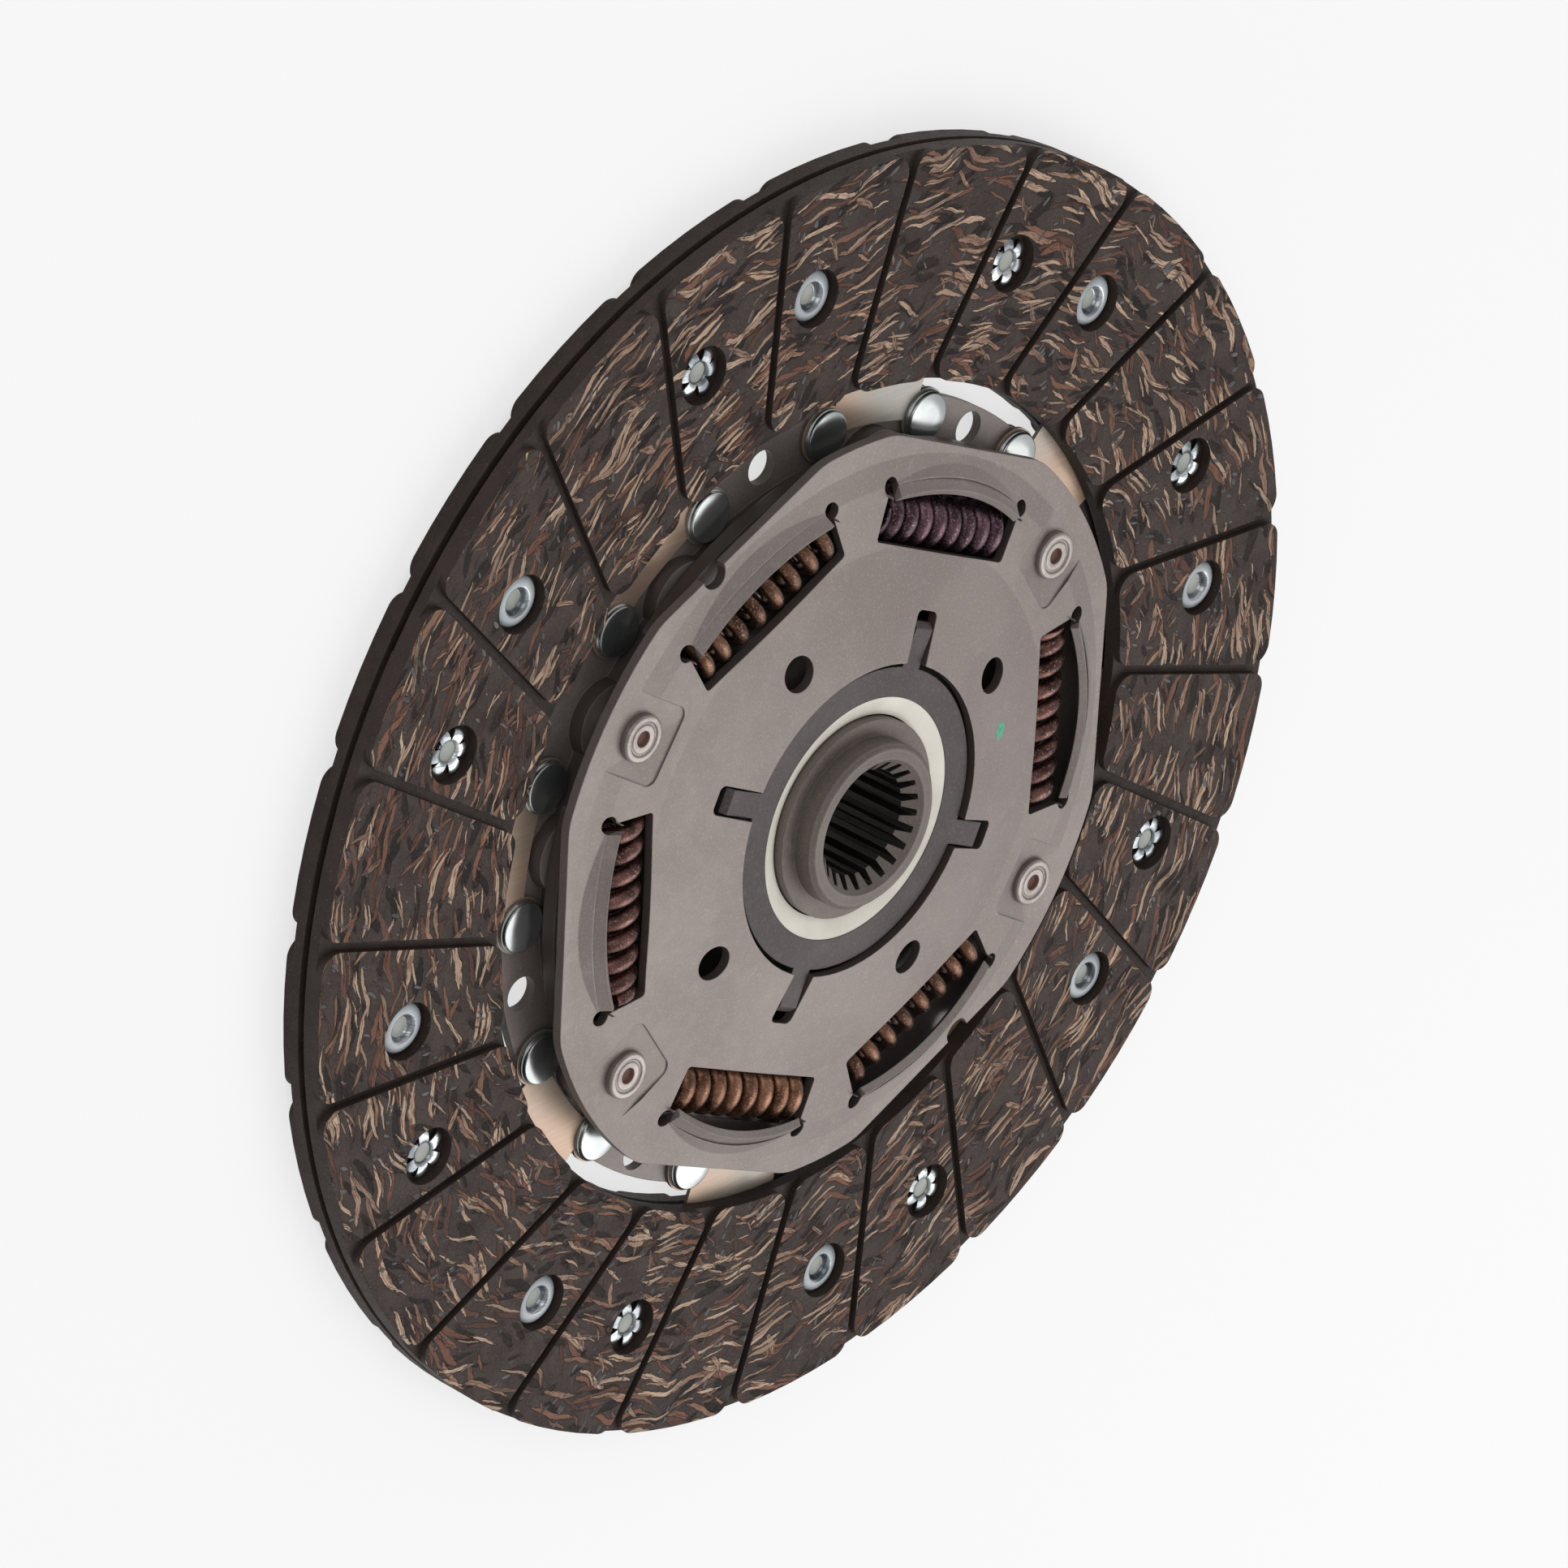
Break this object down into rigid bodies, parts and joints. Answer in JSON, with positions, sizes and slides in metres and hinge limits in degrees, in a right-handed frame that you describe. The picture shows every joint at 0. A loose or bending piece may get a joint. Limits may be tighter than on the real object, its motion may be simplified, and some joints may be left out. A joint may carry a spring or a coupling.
{
  "type": "clutch disc",
  "caption": "Sprung clutch disc: grooved friction ring riveted on wavy spring segments, coil spring damper between two plates, and a splined hub.",
  "frame": {"origin": "on the hub axis, in the plane of the rear (flywheel side) friction face, which the disc lies on", "axes": "+Z along the hub axis towards the gearbox, +X through one of the two single damper springs"},
  "size_m": [0.24, 0.24, 0.0212],
  "materials": {
    "friction_lining": "woven fibre lining, ground flat",
    "zinc_rivet": "bright zinc plated",
    "foot_rivet_steel": "pressed steel rivet",
    "segment_steel": "rolled spring steel",
    "cover_steel": "pressed steel, satin",
    "drive_steel": "pressed steel, dark",
    "flange_steel": "hardened, dark",
    "hub_steel": "machined and hardened",
    "bearing_polymer": "cream moulded bearing ring",
    "friction_ring": "pressed friction material",
    "finger_steel": "blued spring steel",
    "brown_spring": "tempered spring wire, reddish brown",
    "copper_spring": "tempered spring wire, copper coloured",
    "dark_spring": "tempered spring wire, dark",
    "inner_wire": "thin spring wire"
  },
  "bodies": {
    "disc": {"front_facing": "friction_lining", "rear_facing": "friction_lining", "front_facing_rivets": "zinc_rivet", "rear_facing_rivets": "zinc_rivet", "cushion_segment_1": "segment_steel", "cushion_segment_2": "segment_steel", "cushion_segment_3": "segment_steel", "cushion_segment_4": "segment_steel", "cushion_segment_5": "segment_steel", "cushion_segment_6": "segment_steel", "cushion_segment_7": "segment_steel", "cushion_segment_8": "segment_steel", "segment_rivets": "foot_rivet_steel", "cover_plate": "cover_steel", "drive_plate": "drive_steel", "spacer_rivets": "foot_rivet_steel", "front_bearing_ring": "bearing_polymer", "front_friction_ring": "friction_ring", "load_spring": "finger_steel", "rear_bearing_ring": "bearing_polymer", "rear_friction_ring": "friction_ring", "finger_ring": "finger_steel"},
    "hub": {"hub": "hub_steel", "hub_flange": "flange_steel"},
    "damper_springs": {"damper_spring_1": "brown_spring", "damper_spring_2": "copper_spring", "damper_spring_3": "brown_spring", "damper_spring_4": "brown_spring", "damper_spring_5": "dark_spring", "damper_spring_6": "brown_spring", "inner_spring_1": "inner_wire", "inner_spring_2": "inner_wire"}
  },
  "joints": [
    {"name": "damper_twist", "type": "hinge", "parent": "disc", "child": "hub", "pos_m": [0, 0, 0.009], "axis": [0, 0, 1], "range_deg": [-7, 7], "stiffness_Nm_per_rad": 400, "deforming": ["damper_spring_1", "damper_spring_2", "damper_spring_3", "damper_spring_4", "damper_spring_5", "damper_spring_6", "inner_spring_1", "inner_spring_2"]},
    {"name": "spring_follow", "type": "hinge", "parent": "disc", "child": "damper_springs", "pos_m": [0, 0, 0.009], "axis": [0, 0, 1], "range_deg": [-3.5, 3.5]}
  ],
  "couplings": [
    {"joint": "spring_follow", "follows": "damper_twist", "ratio": 0.5}
  ]
}
